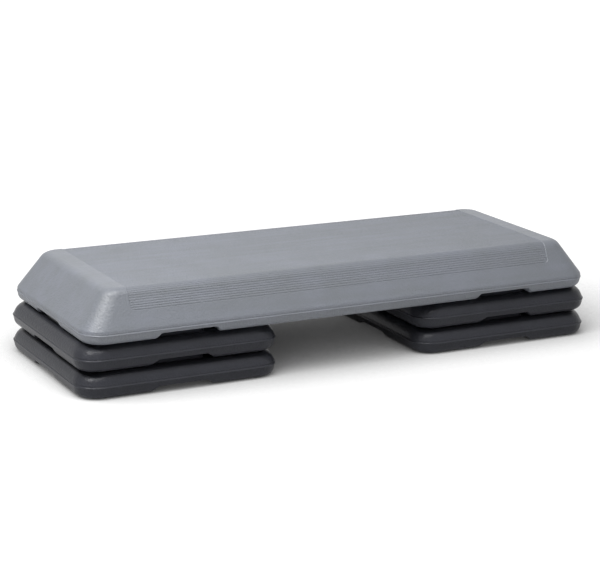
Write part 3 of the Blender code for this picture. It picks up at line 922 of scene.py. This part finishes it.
def relief(tree, strengthAndHeight, height, over=None):
    # A bump of so many metres, over another one if given
    strength, distance = strengthAndHeight
    links = {"Height": height, "Normal": over} if over else {"Height": height}
    return addNode(tree, "ShaderNodeBump", {"Strength": strength, "Distance": distance},
                   links).outputs["Normal"]


greyForm = {
    "wholeSurface": {"IOR": 1.5, "Specular IOR Level": 0.75},    # the skin is waxed to a sheen
    "tones": ("#6F7379", "#767A83"),
    "cloudScale": 14.0,
    "streakScale": (3, 60, 60),  # the clouds are drawn out along the platform
    "rippleScale": 18.0,
    "ripple": (0.35, 0.0006),    # strength and height in metres
    "stippleScale": 480.0,
    "speck": (0.94, 1.06),       # what the stipple multiplies the colour by
    "roughness": (0.42, 0.54),
    "pebbleScale": 240.0,
    "pebble": (1.0, 0.0007),
}


def greyPolyethylene():
    # Blow-moulded polyethylene off a grit-blasted mould: a soft sheen broken up by a fine
    # stipple, with faint cloudiness where the skin cooled unevenly.
    # The real stipple is about 0.3 mm: the 2 mm speckle of its colour and the 4 mm pebbling of
    # its relief are the finest that show at this distance.
    form = greyForm
    made, tree, place = startFinish("blow_moulded_grey_polyethylene", form)
    cloud = noise(tree, place, form["cloudScale"], 3.0)
    drawn = addNode(tree, "ShaderNodeVectorMath", {
        "operation": "MULTIPLY", 1: form["streakScale"]}, {0: place})
    flow = addNode(tree, "ShaderNodeMath", {"operation": "MULTIPLY"}, {
        0: cloud, 1: noise(tree, drawn.outputs[0], 1.0, 2.0)})
    tone = tones(tree, form["tones"], spread(tree, flow.outputs[0], (0.0, 1.0), 0.12, 0.40))
    stipple = noise(tree, place, form["stippleScale"], 2.0, 0.6)
    colour = addNode(tree, "ShaderNodeMix", {"data_type": "RGBA", "blend_type": "MULTIPLY", 0: 1.0},
                     {6: tone, 7: spread(tree, stipple, form["speck"])})
    wave = relief(tree, form["ripple"], noise(tree, place, form["rippleScale"], 1.0))
    grain = relief(tree, form["pebble"], noise(tree, place, form["pebbleScale"], 1.0), wave)
    endFinish(tree, colour.outputs[2], spread(tree, stipple, form["roughness"]), grain)
    return made


charcoalForm = {
    "wholeSurface": {"IOR": 1.5, "Specular IOR Level": 0.15},    # the grain shades its own glints
    "tones": ("#303136", "#38393F"),
    "cloudScale": 20.0,
    "ripple": (0.3, 0.0006),     # strength and height in metres
    "stippleScale": 480.0,
    "roughness": (0.28, 0.38),
    "pebbleScale": 240.0,
    "pebble": (1.0, 0.0005),
}


def charcoalPolyethylene():
    # The same moulding in charcoal, from a mould with a slightly smoother skin: it takes a
    # broader, softer highlight, and the grain, drawn as coarse as on the grey, only shows in that
    form = charcoalForm
    made, tree, place = startFinish("blow_moulded_charcoal_polyethylene", form)
    cloud = noise(tree, place, form["cloudScale"], 3.0)
    stipple = noise(tree, place, form["stippleScale"], 2.0, 0.6)
    wave = relief(tree, form["ripple"], cloud)
    grain = relief(tree, form["pebble"], noise(tree, place, form["pebbleScale"], 1.0), wave)
    endFinish(tree, tones(tree, form["tones"], cloud),
              spread(tree, stipple, form["roughness"]), grain)
    return made


rubberForm = {
    "wholeSurface": {"IOR": 1.52},
    "tones": ("#1A1A1B", "#29292A"),
    "gritScale": 1400.0,
    "roughness": (0.7, 0.9),
    "grit": (0.3, 0.0002),       # strength and height in metres
}


def blackRubber():
    # Injection-moulded rubber, matt, with a fine grit
    form = rubberForm
    made, tree, place = startFinish("moulded_black_rubber", form)
    grit = noise(tree, place, form["gritScale"], 2.0)
    endFinish(tree, tones(tree, form["tones"], grit),
              spread(tree, grit, form["roughness"], 0.0, 1.0), relief(tree, form["grit"], grit))
    return made


def dress(objects, material):
    for obj in objects:
        obj.data.materials.clear()
        obj.data.materials.append(material)


dress([platformShell], greyPolyethylene())
dress(riserShells, charcoalPolyethylene())
dress(feetPieces, blackRubber())
print("finishes: done")


# Floor, light and camera

stageForm = {
    "floorFrom": (-6, -6),       # x and y of its corners
    "floorTo": (6, 9),
    "floorColour": "#E6E6E6",    # what the object gets back from it
    "glowShare": 0.82,           # part of the floor's look that is a white glow with painted shadow, the rest is lamps
    "glowStrength": 1.32,
    "paintedShadePower": 2.1,            # over 1 deepens the painted shade under the object
    "paintedShadeReach": 1.2,            # metres within which the object darkens the glow: a painted shadow
    "paintedShadeSamples": 6,
    "paintedShadeTurn": 215,             # degrees from +X to the side that the painted shade is lit from
    "paintedShadeLean": 35,              # degrees from straight up
    "room": 0.02,                # strength of the room's own light
}


def buildStage():
    # A floor that keeps the object's shadow, partly real and partly painted: for the camera and for
    # mirror images it is mostly a white glow with a painted shadow, darkened where the object would
    # shade soft light from all of the sky but more from the front left; the rest is lamps on a matt
    # floor
    form = stageForm
    (left, front), (right, back) = form["floorFrom"], form["floorTo"]
    corners = [(left, front, 0), (right, front, 0), (right, back, 0), (left, back, 0)]
    mesh = bpy.data.meshes.new("floor")
    mesh.from_pydata(corners, [], [(0, 1, 2, 3)])
    floor = inScene("floor", mesh)
    made = bpy.data.materials.new("white_floor")
    made.use_nodes = True
    tree = made.node_tree
    tree.nodes.clear()
    matt = addNode(tree, "ShaderNodeBsdfDiffuse", {"Color": paint(form["floorColour"])})
    turn, lean = math.radians(form["paintedShadeTurn"]), math.radians(form["paintedShadeLean"])
    toward = addNode(tree, "ShaderNodeCombineXYZ", {
        "X": math.sin(lean) * math.cos(turn), "Y": math.sin(lean) * math.sin(turn),
        "Z": math.cos(lean)})
    # Painted shadow: the floor's openness to a sky that leans to the front left darkens its glow
    # near the object
    paintedShadeMask = addNode(tree, "ShaderNodeAmbientOcclusion", {
        "samples": form["paintedShadeSamples"], "Distance": form["paintedShadeReach"]}, {
        "Normal": toward.outputs[0]})
    deeper = addNode(tree, "ShaderNodeMath", {"operation": "POWER", 1: form["paintedShadePower"]},
                     {0: paintedShadeMask.outputs["AO"]})
    strength = addNode(tree, "ShaderNodeMath", {"operation": "MULTIPLY", 1: form["glowStrength"]},
                       {0: deeper.outputs[0]})
    shadedGlow = addNode(tree, "ShaderNodeEmission", {}, {"Strength": strength.outputs[0]})
    shown = addNode(tree, "ShaderNodeMixShader", {0: form["glowShare"]}, {
        1: matt.outputs[0], 2: shadedGlow.outputs[0]})
    mixed = addNode(tree, "ShaderNodeMixShader", {}, {
        0: backdropRays(tree), 1: matt.outputs[0], 2: shown.outputs[0]})
    addNode(tree, "ShaderNodeOutputMaterial", {}, {"Surface": mixed.outputs[0]})
    floor.data.materials.append(made)

    world = bpy.data.worlds.new("studio")
    world.use_nodes = True
    bpy.context.scene.world = world
    tree = world.node_tree
    tree.nodes.clear()
    room = addNode(tree, "ShaderNodeBackground", {"Color": (1, 1, 1, 1), "Strength": form["room"]})
    white = addNode(tree, "ShaderNodeBackground", {"Color": (1, 1, 1, 1), "Strength": 1.0})
    mixed = addNode(tree, "ShaderNodeMixShader", {}, {
        0: backdropRays(tree), 1: room.outputs[0], 2: white.outputs[0]})
    addNode(tree, "ShaderNodeOutputWorld", {}, {"Surface": mixed.outputs[0]})


def backdropRays(tree):
    # 1 for the rays that see the backdrop as it looks: camera, glossy and transmission
    path = addNode(tree, "ShaderNodeLightPath", {})
    seen = addNode(tree, "ShaderNodeMath", {"operation": "MAXIMUM"}, {
        0: path.outputs["Is Camera Ray"], 1: path.outputs["Is Transmission Ray"]})
    seen = addNode(tree, "ShaderNodeMath", {"operation": "MAXIMUM"}, {
        0: seen.outputs[0], 1: path.outputs["Is Glossy Ray"]})
    return seen.outputs[0]


lampForm = {
    "key": {"turn": 197, "rise": 51, "size": 0.7, "energy": 50.0},
    "front": {"turn": 240, "rise": 68, "size": 1.4, "energy": 61.0},
    "side": {"turn": 300, "rise": 32, "size": 1.2, "energy": 3.5},
    "back": {"turn": 90, "rise": 40, "size": 1.4, "energy": 5.0},
    "backRight": {"turn": 60, "rise": 20, "size": 1.4, "energy": 3.0},
}
lampReach = 3.0                  # metres from the object


def buildLamps():
    for name, form in lampForm.items():
        lamp = bpy.data.lights.new(name, "AREA")
        lamp.shape = "SQUARE"
        lamp.size = form["size"]
        lamp.energy = form["energy"]
        obj = inScene(name, lamp)
        turn, rise = math.radians(form["turn"]), math.radians(form["rise"])
        away = lampReach * Vector((
            math.cos(rise) * math.cos(turn), math.cos(rise) * math.sin(turn), math.sin(rise)))
        obj.location = cameraAim + away
        obj.rotation_euler = away.to_track_quat("Z", "Y").to_euler()


cameraForm = {
    "place": (-1.72934, -3.29526, 1.07585),
    "turn": (75.3351, -0.8425, -27.3066),     # degrees about X, Y and Z
    "lens": 115.207,
    "shift": (0.000645, -0.00133),
}


def buildCamera():
    data = bpy.data.cameras.new("camera")
    data.lens = cameraForm["lens"]
    data.sensor_width = 36.0
    data.shift_x, data.shift_y = cameraForm["shift"]
    camera = inScene("camera", data)
    camera.location = cameraForm["place"]
    camera.rotation_euler = Euler([math.radians(a) for a in cameraForm["turn"]])
    bpy.context.scene.camera = camera


cameraAim = Vector((0.0, 0.0, 0.1))
buildStage()
buildLamps()
buildCamera()
bpy.context.scene.view_settings.view_transform = "Standard"
print("stage: done")
